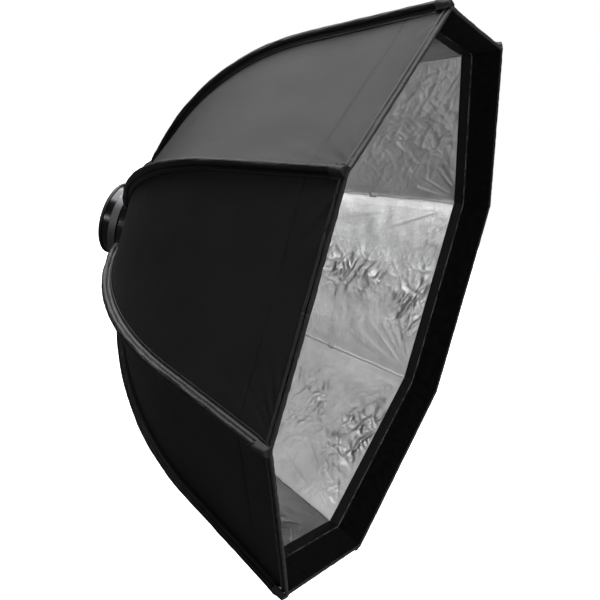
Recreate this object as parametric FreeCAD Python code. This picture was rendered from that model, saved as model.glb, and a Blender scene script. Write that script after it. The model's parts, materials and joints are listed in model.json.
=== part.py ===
import FreeCAD, Part
import math
import os
from FreeCAD import Vector

# Octagonal folding softbox on a rotating speed ring.  Millimetres.
# Origin: centre of the flash collar's bore on its rear face.
# +Y points out of the back of the collar, +Z is up, the open mouth faces -Y.
# Angles round the Y axis are measured from +Z towards +X.

# ---- driving dimensions ------------------------------------------------------
SIDES = 8
ACROSS_FLATS = 900.0
DEPTH = 516.0                 # collar's rear face to the mouth
FIRST_ROD = -22.5             # angle of rod 1

# rod line: a straight front run, then one arc back to the hinge
TIP_SLOPE = 65.2              # degrees forward of radial along the straight run
STRAIGHT_RUN = 228.0
ARC_RADIUS = 460.0
HINGE_SLOPE = 13.4            # degrees forward of radial at the hinge

ROD_D = 5.5
SLEEVE_OD = 12.0
SLEEVE_ID = 6.4
POCKET_OD = 13.4
POCKET_LENGTH = 22.0
POCKET_END_WALL = 3.0
SOCKET_LENGTH = 52.0          # hinge to the outer end of the rod socket
SOCKET_BORE_D = 6.8           # straight bore with room for the rod's curve
SOCKET_BODY_R = 5.8
SOCKET_LIFT = 0.45            # body axis outside the hinge line, to suit the rod's curve
BOOT_OD = 14.0                # wide root of the sleeve, round the socket
BOOT_ID = 12.4
BOOT_START = 17.0             # hinge to the boot's inner end
HOUSING_END = 38.0            # hinge to the outer end of socket 1's raised housing
HOUSING_W = 17.0
HOUSING_TOP = 14.5

FABRIC_OFFSET = 7.0           # rod line to the outer face of the fabric
FABRIC_T = 2.0
SEAM_GAP = 0.4                # clearance at each edge of a half panel

# speed ring
RING_REAR_Y = -41.0
RING_FLANGE_Y = -48.0
RING_FRONT_Y = -60.0
RING_REAR_R = 72.0
RING_R = 85.0
BUSH_OUTER_R = 62.3
BUSH_FRONT_Y = -62.6
SLOT_W = 12.8
SLOT_FLOOR_R = 72.3
PIN_R = 1.5
PIN_LENGTH = 26.0
KNUCKLE_R = 6.0
KNUCKLE_W = 12.2
RUNNING = 0.05                # radial clearance of a turning fit

# flash collar
BORE_R = 50.0
COLLAR_BORE_R = 53.0
NECK_R = 60.0
BAND_R = 59.5
SHOULDER_R = 68.0
LIP_R = 61.0
LIP_Y = -6.0
SHOULDER_REAR_Y = -22.0
SHOULDER_FRONT_Y = -36.0
NECK_FRONT_Y = -66.0
LINER_FRONT_Y = -40.0
SLIT_W = 3.0
SLIT_ANGLE = 80.0

# clamp lever, on the band of the collar
LEVER_PIVOT_ANGLE = 70.0
LEVER_PIVOT_R = 66.0
LEVER_REAR_Y = -9.0
LEVER_FRONT_Y = -19.0
LEVER_INNER_R = 63.6
LEVER_OUTER_R = 67.4
LEVER_END_ANGLE = 140.0
EAR_T = 2.0

# clamp ring and its screws
CLAMP_INNER_R = 63.0
CLAMP_OUTER_R = 72.0
CLAMP_FRONT_Y = -62.5
SCREW_PITCH_R = 67.5
SCREW_R = 1.5
SCREW_HEAD_R = 2.9
SCREW_HEAD_H = 1.8
SCREW_DEPTH = 5.0

# rotation lock
LOCK_ANGLE = 90.0
LOCK_Y = -51.0
STUD_R = 3.0
KNOB_R = 11.0
KNOB_START = 87.0
KNOB_H = 18.0
KNOB_FLUTES = 8

# ---- derived values ----------------------------------------------------------
STEP_ANGLE = 360.0 / SIDES
HALF = math.radians(STEP_ANGLE / 2)
TIP_R = ACROSS_FLATS / 2 / math.cos(HALF)
FRONT_Y = -DEPTH
A_TIP = math.radians(TIP_SLOPE)
A_HINGE = math.radians(HINGE_SLOPE)
ARC_LENGTH = ARC_RADIUS * (A_TIP - A_HINGE)
ROD_LENGTH = ARC_LENGTH + STRAIGHT_RUN
KNEE_R = TIP_R - STRAIGHT_RUN * math.cos(A_TIP)
KNEE_Y = FRONT_Y + STRAIGHT_RUN * math.sin(A_TIP)
CENTRE_R = KNEE_R - ARC_RADIUS * math.sin(A_TIP)
CENTRE_Y = KNEE_Y - ARC_RADIUS * math.cos(A_TIP)
HINGE_R = CENTRE_R + ARC_RADIUS * math.sin(A_HINGE)
HINGE_Y = CENTRE_Y + ARC_RADIUS * math.cos(A_HINGE)
ROD_ANGLES = [FIRST_ROD + STEP_ANGLE * k for k in range(SIDES)]
MID_ANGLES = [angle + STEP_ANGLE / 2 for angle in ROD_ANGLES]
ORIGIN = Vector(0, 0, 0)
Y_AXIS = Vector(0, 1, 0)
X_AXIS = Vector(1, 0, 0)


# ---- helpers -----------------------------------------------------------------
def save(shape, name):
    shape.exportStep("parts/" + name + ".step")


def turned(shape, angle):
    """Copy of a shape built at the +Z position, turned to an angle round Y."""
    return shape.rotated(ORIGIN, Y_AXIS, angle)


def revolved(points):
    """Solid ring from (radius, y) corners."""
    corners = [Vector(r, y, 0) for r, y in points]
    face = Part.Face(Part.makePolygon(corners + corners[:1]))
    return face.revolve(ORIGIN, Y_AXIS, 360)


def tube(inner_r, outer_r, y0, y1):
    return revolved([(inner_r, y0), (outer_r, y0), (outer_r, y1), (inner_r, y1)])


def sector(inner_r, outer_r, y0, y1, angle0, angle1):
    """Part of a tube between two angles."""
    corners = [Vector(0, y, r) for r, y in
               ((inner_r, y0), (outer_r, y0), (outer_r, y1), (inner_r, y1))]
    face = Part.Face(Part.makePolygon(corners + corners[:1]))
    solid = face.revolve(ORIGIN, Y_AXIS, angle1 - angle0)
    return turned(solid, angle0)


def radial_cylinder(radius, start, length, y):
    """Cylinder pointing outwards at the +Z position."""
    return Part.makeCylinder(radius, length, Vector(0, y, start), Vector(0, 0, 1))


def line_point(s, inward=0.0):
    """(radius, y) on the rod line, s from the hinge, moved inwards by a normal offset."""
    if s <= ARC_LENGTH:
        a = A_HINGE + s / ARC_RADIUS
        r = CENTRE_R + ARC_RADIUS * math.sin(a)
        y = CENTRE_Y + ARC_RADIUS * math.cos(a)
    else:
        a = A_TIP
        r = KNEE_R + (s - ARC_LENGTH) * math.cos(a)
        y = KNEE_Y - (s - ARC_LENGTH) * math.sin(a)
    return r - inward * math.sin(a), y - inward * math.cos(a)


def line_slope(s):
    return A_HINGE + min(s, ARC_LENGTH) / ARC_RADIUS


def line_edges(s0, s1, inward=0.0, squeeze=1.0):
    """Arc and straight run of the rod line; squeeze scales the radius."""
    def at(s):
        r, y = line_point(s, inward)
        return Vector(0, y, r * squeeze)
    edges = []
    if s0 < ARC_LENGTH:
        arc_end = min(s1, ARC_LENGTH)
        edges.append(Part.Arc(at(s0), at((s0 + arc_end) / 2), at(arc_end)).toShape())
    if s1 > ARC_LENGTH:
        edges.append(Part.LineSegment(at(max(s0, ARC_LENGTH)), at(s1)).toShape())
    return edges


def pipe(radius, s0, s1):
    """Round bar along the rod line."""
    r, y = line_point(s0)
    a = line_slope(s0)
    tangent = Vector(0, -math.sin(a), math.cos(a))
    ring = Part.Wire([Part.makeCircle(radius, Vector(0, y, r), tangent)])
    return Part.Wire(line_edges(s0, s1)).makePipeShell([ring], True, True)


# ---- rods, sleeves, pockets and sockets --------------------------------------
def along_socket(shape):
    """Turns and moves a shape built along +Z at the origin onto the socket's line."""
    shape = shape.rotated(ORIGIN, X_AXIS, math.degrees(A_HINGE + SOCKET_LENGTH / 2 / ARC_RADIUS))
    shape.translate(Vector(0, HINGE_Y, HINGE_R))
    return shape


def socket_axis_cylinder(radius, start, end):
    return Part.makeCylinder(radius, end - start, Vector(0, SOCKET_LIFT, start), Vector(0, 0, 1))


def housing():
    """Raised rounded housing with a groove, outside socket 1."""
    start = Vector(0, 6.5, 10.0)
    rear = Vector(0, HOUSING_TOP - 2.0, 16.0)
    front = Vector(0, HOUSING_TOP - 2.0, HOUSING_END - 6)
    end = Vector(0, 6.0, HOUSING_END)
    outline = [Part.LineSegment(Vector(0, 2.0, 10.0), Vector(0, 2.0, HOUSING_END)),
               Part.LineSegment(Vector(0, 2.0, HOUSING_END), end),
               Part.Arc(end, Vector(0, 10.2, HOUSING_END - 1.6), front),
               Part.Arc(front, Vector(0, HOUSING_TOP, HOUSING_END / 2 + 5), rear),
               Part.Arc(rear, Vector(0, 10.2, 12.2), start),
               Part.LineSegment(start, Vector(0, 2.0, 10.0))]
    face = Part.Face(Part.Wire([piece.toShape() for piece in outline]))
    block = face.extrude(Vector(HOUSING_W, 0, 0))
    block.translate(Vector(-HOUSING_W / 2, 0, 0))
    return block.cut(Part.makeBox(HOUSING_W + 2, 3.0, 1.4, Vector(-HOUSING_W / 2 - 1, 11.8, 20.0)))


def rod_socket(with_housing):
    """Hinged lug with a bore for the rod; its knuckle turns on the ring's pin."""
    body = socket_axis_cylinder(SOCKET_BODY_R, 11, SOCKET_LENGTH)
    strut = Part.makeBox(KNUCKLE_W - 1, 9.4, 14, Vector((1 - KNUCKLE_W) / 2, -4.7, 0))
    knuckle = Part.makeCylinder(KNUCKLE_R, KNUCKLE_W, Vector(-KNUCKLE_W / 2, 0, 0), X_AXIS)
    lug = body.fuse([strut, knuckle]).removeSplitter()
    if with_housing:
        lug = lug.fuse(housing()).removeSplitter()
    lug = lug.cut(Part.makeCylinder(PIN_R + RUNNING, 40, Vector(-20, 0, 0), X_AXIS))
    lug = lug.cut(socket_axis_cylinder(SOCKET_BORE_D / 2, 14.5, SOCKET_LENGTH + 5))
    return along_socket(lug)


def rod():
    return pipe(ROD_D / 2, 15.0, ROD_LENGTH)


def rod_sleeve(boot_start):
    """Sewn tube for the rod, with a wide boot that covers the socket."""
    end = ROD_LENGTH - POCKET_LENGTH - 1
    neck = SOCKET_LENGTH + 3
    boot = along_socket(socket_axis_cylinder(BOOT_OD / 2, boot_start, neck + 3))
    hollow = along_socket(socket_axis_cylinder(BOOT_ID / 2, boot_start - 2, SOCKET_LENGTH + 1))
    sleeve = pipe(SLEEVE_OD / 2, neck, end).fuse(boot).removeSplitter()
    return sleeve.cut([pipe(SLEEVE_ID / 2, neck - 5, end + 2), hollow])


def tip_pocket():
    outer = pipe(POCKET_OD / 2, ROD_LENGTH - POCKET_LENGTH, ROD_LENGTH + POCKET_END_WALL)
    return outer.cut(pipe(ROD_D / 2 + 0.1, ROD_LENGTH - POCKET_LENGTH - 5, ROD_LENGTH))


# ---- fabric ------------------------------------------------------------------
def half_panel():
    """Half of one flat-topped fabric panel, from its mid line (+Z) towards +X."""
    squeeze = math.cos(HALF)
    outer = line_edges(0, ROD_LENGTH, FABRIC_OFFSET, squeeze)
    inner = line_edges(0, ROD_LENGTH, FABRIC_OFFSET + FABRIC_T, squeeze)
    caps = []
    for end in (0, -1):
        a = outer[end].Vertexes[end].Point
        b = inner[end].Vertexes[end].Point
        caps.append(Part.LineSegment(a, b).toShape())
    wire = Part.Wire(Part.__sortEdges__(outer + inner + caps))
    slab = Part.Face(wire).extrude(Vector(TIP_R, 0, 0))
    near = 30.0
    far = TIP_R + 60
    slant = math.tan(HALF)
    trim = SEAM_GAP / math.cos(HALF)
    corners = [Vector(SEAM_GAP, 1, near), Vector(SEAM_GAP, 1, far),
               Vector(far * slant - trim, 1, far), Vector(near * slant - trim, 1, near)]
    wedge = Part.Face(Part.makePolygon(corners + corners[:1])).extrude(Vector(0, -DEPTH - 40, 0))
    return slab.common(wedge)


# ---- speed ring --------------------------------------------------------------
def at_each(angles, shape):
    return [turned(shape, angle) for angle in angles]


def hinge_pin():
    return Part.makeCylinder(PIN_R, PIN_LENGTH, Vector(-PIN_LENGTH / 2, HINGE_Y, HINGE_R), X_AXIS)


def screw_hole():
    return Part.makeCylinder(SCREW_R, SCREW_DEPTH + 4, Vector(0, RING_FRONT_Y - 4, SCREW_PITCH_R),
                             Y_AXIS)


def speed_ring():
    body = revolved([(BUSH_OUTER_R, RING_REAR_Y), (RING_REAR_R, RING_REAR_Y),
                     (RING_R, RING_FLANGE_Y), (RING_R, RING_FRONT_Y),
                     (BUSH_OUTER_R, RING_FRONT_Y)])
    slot = Part.makeBox(SLOT_W, 30, 30, Vector(-SLOT_W / 2, RING_FRONT_Y - 5, SLOT_FLOOR_R))
    cutters = at_each(ROD_ANGLES, slot) + at_each(ROD_ANGLES, hinge_pin())
    cutters += at_each(MID_ANGLES, screw_hole())
    cutters.append(turned(radial_cylinder(STUD_R + RUNNING, BUSH_OUTER_R - 5, 40, LOCK_Y),
                          LOCK_ANGLE))
    return body.cut(cutters)


def ring_bushing():
    bush = tube(NECK_R + RUNNING, BUSH_OUTER_R, SHOULDER_FRONT_Y - 0.1, BUSH_FRONT_Y)
    return bush.cut(turned(radial_cylinder(STUD_R + 0.2, 50, 20, LOCK_Y), LOCK_ANGLE))


def clamp_ring():
    ring = tube(CLAMP_INNER_R, CLAMP_OUTER_R, RING_FRONT_Y, CLAMP_FRONT_Y)
    return ring.cut(at_each(MID_ANGLES, screw_hole()))


def ring_screw():
    shank = Part.makeCylinder(SCREW_R, SCREW_DEPTH - CLAMP_FRONT_Y + RING_FRONT_Y,
                              Vector(0, CLAMP_FRONT_Y, SCREW_PITCH_R), Y_AXIS)
    head_y = CLAMP_FRONT_Y - SCREW_HEAD_H
    head = Part.makeCylinder(SCREW_HEAD_R, SCREW_HEAD_H, Vector(0, head_y, SCREW_PITCH_R), Y_AXIS)
    head = head.makeFillet(0.8, [edge for edge in head.Edges
                                 if abs(edge.BoundBox.Center.y - head_y) < 0.01])
    drive = Part.makeBox(3.6, 1.0, 0.8, Vector(-1.8, head_y, SCREW_PITCH_R - 0.4))
    return shank.fuse(head).removeSplitter().cut(drive)


# ---- flash collar ------------------------------------------------------------
def adapter_collar():
    snap_rear = BUSH_FRONT_Y - 0.1
    body = revolved([
        (COLLAR_BORE_R, LIP_Y), (BAND_R, LIP_Y), (BAND_R, SHOULDER_REAR_Y),
        (SHOULDER_R - 1.5, SHOULDER_REAR_Y), (SHOULDER_R, SHOULDER_REAR_Y - 1.5),
        (SHOULDER_R, SHOULDER_FRONT_Y), (NECK_R, SHOULDER_FRONT_Y), (NECK_R, snap_rear),
        (NECK_R - 1.5, snap_rear), (NECK_R - 1.5, snap_rear - 2.0), (NECK_R, snap_rear - 2.0),
        (NECK_R, NECK_FRONT_Y), (COLLAR_BORE_R, NECK_FRONT_Y)])
    ears = []
    for y0 in (LEVER_REAR_Y + 0.3, LEVER_FRONT_Y - 0.3 - EAR_T):
        ear = Part.makeBox(8, EAR_T, LEVER_PIVOT_R - BAND_R + 1, Vector(-4, y0, BAND_R - 1))
        top = Part.makeCylinder(4, EAR_T, Vector(0, y0, LEVER_PIVOT_R), Y_AXIS)
        ears.append(turned(ear.fuse(top), LEVER_PIVOT_ANGLE))
    keeper = sector(BAND_R - 1, 63.0, LEVER_REAR_Y - 1, LEVER_FRONT_Y + 1, 84, 88)
    body = body.fuse(ears + [keeper]).removeSplitter()
    body = body.cut(slit_cutter())
    return body.cut(lever_pin())


def slit_cutter():
    cutter = Part.makeBox(SLIT_W, -SHOULDER_REAR_Y + 2, 20,
                          Vector(-SLIT_W / 2, SHOULDER_REAR_Y, BORE_R - 5))
    return turned(cutter, SLIT_ANGLE)


def grip_liner():
    liner = revolved([(BORE_R, 0), (LIP_R - 1.5, 0), (LIP_R, -1.5), (LIP_R, LIP_Y),
                      (COLLAR_BORE_R, LIP_Y), (COLLAR_BORE_R, LINER_FRONT_Y),
                      (BORE_R, LINER_FRONT_Y)])
    return liner.cut(slit_cutter())


def collar_snap_ring():
    rear = BUSH_FRONT_Y - 0.1
    return sector(NECK_R - 1.4, NECK_R + 3.5, rear - 0.05, rear - 1.95, 8, 352)


def lever_pin():
    length = LEVER_REAR_Y - LEVER_FRONT_Y + 2 * EAR_T + 0.6
    pin = Part.makeCylinder(PIN_R, length,
                            Vector(0, LEVER_FRONT_Y - 0.3 - EAR_T, LEVER_PIVOT_R), Y_AXIS)
    return turned(pin, LEVER_PIVOT_ANGLE)


def clamp_lever():
    blade = sector(LEVER_INNER_R, LEVER_OUTER_R, LEVER_FRONT_Y, LEVER_REAR_Y,
                   LEVER_PIVOT_ANGLE, LEVER_END_ANGLE)
    tip = sector(LEVER_INNER_R, LEVER_OUTER_R + 3.0, LEVER_FRONT_Y, LEVER_REAR_Y,
                 LEVER_END_ANGLE - 5, LEVER_END_ANGLE)
    knuckle = Part.makeCylinder(4, LEVER_REAR_Y - LEVER_FRONT_Y,
                                Vector(0, LEVER_FRONT_Y, LEVER_PIVOT_R), Y_AXIS)
    lever = blade.fuse([tip, turned(knuckle, LEVER_PIVOT_ANGLE)]).removeSplitter()
    hole = Part.makeCylinder(PIN_R + RUNNING, 40, Vector(0, -35, LEVER_PIVOT_R), Y_AXIS)
    return lever.cut(turned(hole, LEVER_PIVOT_ANGLE))


# ---- rotation lock -----------------------------------------------------------
def knob_stud():
    start = NECK_R + 0.3
    stud = radial_cylinder(STUD_R, start, KNOB_START + 10 - start, LOCK_Y)
    return turned(stud, LOCK_ANGLE)


def lock_knob():
    head = radial_cylinder(KNOB_R, KNOB_START, KNOB_H, LOCK_Y)
    rim = [edge for edge in head.Edges if edge.BoundBox.ZLength < 0.01]
    head = head.makeFillet(1.5, rim)
    flutes = []
    for i in range(KNOB_FLUTES):
        turn = 2 * math.pi * i / KNOB_FLUTES
        base = Vector((KNOB_R + 1.6) * math.cos(turn), LOCK_Y + (KNOB_R + 1.6) * math.sin(turn),
                      KNOB_START + 4)
        flutes.append(Part.makeCylinder(3.0, KNOB_H, base, Vector(0, 0, 1)))
    head = head.cut(flutes)
    return turned(head, LOCK_ANGLE).cut(knob_stud())


# ---- build -------------------------------------------------------------------
def main():
    os.makedirs("parts", exist_ok=True)
    right_half = half_panel()
    left_half = right_half.mirror(ORIGIN, X_AXIS)
    per_rod = {"rod": rod(), "rod_sleeve": rod_sleeve(BOOT_START), "tip_pocket": tip_pocket(),
               "rod_socket": rod_socket(False)}
    for number, angle in enumerate(ROD_ANGLES, 1):
        for name, shape in per_rod.items():
            save(turned(shape, angle), "%s_%d" % (name, number))
        # half "a" runs from the rod towards the next one, half "b" towards the one before
        save(turned(left_half, angle + STEP_ANGLE / 2), "shell_half_%da" % number)
        save(turned(right_half, angle - STEP_ANGLE / 2), "shell_half_%db" % number)
    # the first socket carries the housing, so its boot starts further out
    save(turned(rod_socket(True), FIRST_ROD), "rod_socket_1")
    save(turned(rod_sleeve(HOUSING_END + 1), FIRST_ROD), "rod_sleeve_1")
    save(Part.makeCompound(at_each(ROD_ANGLES, hinge_pin())), "hinge_pins")
    save(Part.makeCompound(at_each(MID_ANGLES, ring_screw())), "ring_screws")
    singles = (speed_ring, ring_bushing, clamp_ring, adapter_collar, grip_liner,
               collar_snap_ring, lever_pin, clamp_lever, knob_stud, lock_knob)
    for build in singles:
        save(build(), build.__name__)
    print("hinge radius %.1f y %.1f, rod length %.1f" % (HINGE_R, HINGE_Y, ROD_LENGTH))


main()
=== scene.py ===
import json
import math

import bpy
import numpy as np
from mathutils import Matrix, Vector


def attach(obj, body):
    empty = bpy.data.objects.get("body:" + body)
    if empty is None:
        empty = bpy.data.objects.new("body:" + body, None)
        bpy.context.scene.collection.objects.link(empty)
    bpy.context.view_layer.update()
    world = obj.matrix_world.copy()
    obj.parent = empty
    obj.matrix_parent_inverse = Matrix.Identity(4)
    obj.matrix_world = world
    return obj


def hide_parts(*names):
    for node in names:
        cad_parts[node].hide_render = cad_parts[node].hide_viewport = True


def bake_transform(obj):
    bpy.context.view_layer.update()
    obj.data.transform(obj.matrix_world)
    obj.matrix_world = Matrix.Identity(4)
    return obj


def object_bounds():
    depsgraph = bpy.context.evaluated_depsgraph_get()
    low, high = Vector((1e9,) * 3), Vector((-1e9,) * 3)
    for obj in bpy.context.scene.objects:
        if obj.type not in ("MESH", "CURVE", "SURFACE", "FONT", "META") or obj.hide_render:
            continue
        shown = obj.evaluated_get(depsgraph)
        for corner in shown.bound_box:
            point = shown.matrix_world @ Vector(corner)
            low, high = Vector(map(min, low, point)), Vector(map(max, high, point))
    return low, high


# Looks of a folding octagonal softbox.  Metres, in the CAD frame: the collar's rear face is
# at the origin, the mouth faces -Y, and rod k stands at ROD_ANGLES[k] from +Z towards +X.

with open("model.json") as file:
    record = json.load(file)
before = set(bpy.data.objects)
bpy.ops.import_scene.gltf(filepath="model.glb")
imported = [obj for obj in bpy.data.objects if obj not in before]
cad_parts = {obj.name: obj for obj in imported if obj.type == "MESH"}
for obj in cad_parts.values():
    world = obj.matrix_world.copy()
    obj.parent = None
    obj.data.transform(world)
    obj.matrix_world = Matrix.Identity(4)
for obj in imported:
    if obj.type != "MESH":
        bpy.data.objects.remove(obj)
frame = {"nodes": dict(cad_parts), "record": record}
cad_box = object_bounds()

# ---- places from the frame, and the rod line's shape ---------------------------------
# A rod leaves its hinge at A_HINGE from the axis, bends along an arc to A_TIP, then runs straight.
SIDES = 8
JOINTS = {joint["name"]: joint for joint in frame["record"]["behaviour"]["joints"]}
first = JOINTS["rod_1_fold"]["pos_m"]
HINGE_R = math.hypot(first[0], first[2])
HINGE_Y = first[1]
HALF = math.pi / SIDES
ROD_ANGLES = [math.atan2(first[0], first[2]) + 2 * HALF * k for k in range(SIDES)]
A_HINGE = math.radians(13.4)
A_TIP = math.radians(65.2)
ARC_R = 0.460
STRAIGHT = 0.228
ARC_L = ARC_R * (A_TIP - A_HINGE)
LENGTH = ARC_L + STRAIGHT     # along the rod, from the hinge to the mouth
BAND_FRONT = -0.022           # y where the collar's polished band ends and its shoulder starts

# ---- cloth build-up, measured inwards from the rod line ------------------------------
SHELL_OUT = 0.0062
SHELL_IN = 0.0070
LINING_OUT = 0.0080
LINING_IN = 0.0086
BAND_DEPTH = 0.068            # dark facing inside the mouth
LOOP_DEPTH = 0.051            # loop tape, from the edge to its stitch line
SEAM_DEPTH = 0.068            # seam line outside, parallel to the mouth
DIP = 0.0011                  # how far the shell may dip before it meets the lining
HEM_STITCH = 0.0125           # stitches of the hem, from the edge
LINING_SLACK = 0.06           # how much the inner layers' weights are lowered half-way, see bend()
FACING_SLACK = 0.07
LOOP_SLACK = 0.08
CORNER_R = 0.020              # how softly the cloth turns over a rod
CORNER_REACH = 0.007
SAG_ENDS = 0.0015             # sag between two rods at the hub and at the mouth
SAG_MORE = 0.0020             # more sag half-way along the rods

# ---- sleeves, pockets and tabs on the rods -------------------------------------------
SLEEVE_R = 0.0060
SLEEVE_LIP = 0.0098           # half-width over the sewn margins
BOOT_R = 0.0015               # extra radius of the boot over the socket
BOOT_LIP = 0.0010
BOOT_ENDS = (0.048, 0.066)    # where the boot narrows into the sleeve
SLEEVE_STITCH = 0.0086        # stitches of the margins, from the rod's middle
POCKET_L = 0.022
POCKET_HALF = 0.0118
POCKET_R = 0.0074
TAB_AT = 0.424                # diffuser tabs, from the hinge along the rod
TAB_HALF = 0.006
TAB_DEEP = 0.0118             # middle of a tab's loop, inwards from the rod line

rng = np.random.default_rng(7)


# ---- small numeric helpers -----------------------------------------------------------
def smooth(x, low, high):
    t = np.clip((x - low) / (high - low), 0, 1)
    return t * t * (3 - 2 * t)


NOISE_SIZE = 256
LATTICE = rng.random((12, NOISE_SIZE, NOISE_SIZE)) * 2 - 1


def noise(u, v, layer=0):
    """Smooth value noise in -1..1 on a repeating lattice, one unit per cell."""
    table = LATTICE[layer % len(LATTICE)]
    iu = np.floor(u).astype(int)
    iv = np.floor(v).astype(int)
    fu = u - iu
    fv = v - iv
    fu = fu * fu * fu * (fu * (fu * 6 - 15) + 10)
    fv = fv * fv * fv * (fv * (fv * 6 - 15) + 10)

    def at(a, b):
        return table[(iu + a) % NOISE_SIZE, (iv + b) % NOISE_SIZE]
    low = at(0, 0) * (1 - fu) + at(1, 0) * fu
    high = at(0, 1) * (1 - fu) + at(1, 1) * fu
    return low * (1 - fv) + high * fv


def tent(values, steep):
    """Straight-sided crests where the noise crosses zero, 0..1."""
    return np.maximum(0, 1 - steep * np.abs(values))


# ---- rod line and cloth grids --------------------------------------------------------
def rod_line(s, inward=0.0):
    """Radius and y of the rod line at length s from the hinge, moved inwards."""
    s = np.asarray(s, float)
    a = A_HINGE + np.minimum(s, ARC_L) / ARC_R
    run = np.maximum(s - ARC_L, 0)
    r = HINGE_R + ARC_R * (np.sin(a) - math.sin(A_HINGE)) + run * math.cos(A_TIP)
    y = HINGE_Y + ARC_R * (np.cos(a) - math.cos(A_HINGE)) - run * math.sin(A_TIP)
    return r - inward * np.sin(a), y - inward * np.cos(a), a


def around(angle, r, y):
    return np.stack([r * math.sin(angle), y, r * math.cos(angle)], axis=-1)


def rod_edge(k, s, inward=0.0):
    r, y, _ = rod_line(s, inward)
    return around(ROD_ANGLES[k % SIDES], r, y)


def rod_frames(k, s):
    """Centre, tangential and outward directions of the rod line k at lengths s."""
    _, _, a = rod_line(s)
    angle = ROD_ANGLES[k]
    centre = rod_edge(k, s)
    tangential = np.repeat(np.array([[math.cos(angle), 0, -math.sin(angle)]]), len(s), 0)
    outward = around(angle, np.sin(a), np.cos(a))
    return centre, tangential, outward


def panel_normal(k, s):
    """Outward unit normal of flat panel k (from rod k to rod k+1) at length s."""
    _, _, a = rod_line(s)
    mid = ROD_ANGLES[k % SIDES] + HALF
    out = np.sin(a)
    back = math.cos(HALF) * np.cos(a)
    size = np.hypot(out, back)
    return around(mid, out / size, back / size)


def rod_distance(k, s, tau):
    """Distance along the cloth to the nearer rod."""
    width = np.linalg.norm(rod_edge(k + 1, s) - rod_edge(k, s), axis=-1)
    return np.minimum(tau, 1 - tau)[None, :] * width[:, None], width


def sag(s, tau):
    """Inward pull of the stretched cloth between two rods, flat across the middle.

    It stays shallow, so that the layers keep their order when a panel folds."""
    depth = SAG_ENDS + SAG_MORE * np.sin(np.pi * np.clip(s / LENGTH, 0, 1)) ** 1.2
    return -depth[:, None] * (1 - np.abs(2 * tau - 1) ** 5)[None, :]


def corner_round(distance):
    return -np.maximum(0, CORNER_REACH - distance) ** 2 / (2 * CORNER_R)


def panel_grid(k, s, tau, inward, rise):
    a = rod_edge(k, s, inward)
    b = rod_edge(k + 1, s, inward)
    points = a[:, None, :] * (1 - tau)[None, :, None] + b[:, None, :] * tau[None, :, None]
    return points + panel_normal(k, s)[:, None, :] * rise[:, :, None]


def grid_normals(grid):
    ds = np.gradient(grid, axis=0)
    dt = np.gradient(grid, axis=1)
    n = np.cross(ds, dt)
    return n / np.maximum(np.linalg.norm(n, axis=-1, keepdims=True), 1e-12)


def tau_steps(count):
    """Even steps across a panel with extra ones beside the rods; the middle is a step."""
    half = np.concatenate([[0, 0.008, 0.02, 0.035], np.linspace(0.055, 0.5, count)])
    return np.concatenate([half, 1 - half[-2::-1]])


def s_steps(start, end, pitch, fine=()):
    """Steps along the rod with a tight cluster at each fine place."""
    base = np.arange(start, end, pitch)
    extra = [np.array([f + d for d in (-0.003, -0.0014, -0.0007, 0, 0.0007, 0.0014, 0.003)])
             for f in fine]
    steps = np.unique(np.round(np.concatenate([base, [end]] + extra), 5))
    steps = steps[(steps >= start) & (steps <= end)]
    keep = [steps[0]]
    for value in steps[1:]:
        if value - keep[-1] > 0.0004:
            keep.append(value)
    keep[-1] = end
    return np.array(keep)


# ---- mesh makers ---------------------------------------------------------------------
def signed_volume(mesh):
    mesh.calc_loop_triangles()
    spots = np.zeros(len(mesh.vertices) * 3)
    mesh.vertices.foreach_get("co", spots)
    corner = np.zeros(len(mesh.loop_triangles) * 3, np.int32)
    mesh.loop_triangles.foreach_get("vertices", corner)
    a, b, c = spots.reshape(-1, 3)[corner.reshape(-1, 3)].transpose(1, 0, 2)
    return float(np.sum(a * np.cross(b, c)))


def make_mesh(name, verts, faces, loop_normals=None, uv=None, flat=None):
    mesh = bpy.data.meshes.new(name)
    mesh.from_pydata([tuple(v) for v in verts], [], [tuple(f) for f in faces])
    if loop_normals is None and signed_volume(mesh) < 0:
        mesh.flip_normals()
    smooth_flags = np.ones(len(mesh.polygons), bool)
    if flat is not None:
        smooth_flags[flat] = False
    mesh.polygons.foreach_set("use_smooth", smooth_flags)
    if uv is not None:
        layer = mesh.uv_layers.new(name="cloth")
        corner = np.zeros(len(mesh.loops), np.int32)
        mesh.loops.foreach_get("vertex_index", corner)
        layer.data.foreach_set("uv", np.asarray(uv, np.float32)[corner].ravel())
    if loop_normals is not None:
        mesh.normals_split_custom_set([tuple(n) for n in loop_normals])
    obj = bpy.data.objects.new(name, mesh)
    bpy.context.scene.collection.objects.link(obj)
    return obj


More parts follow.
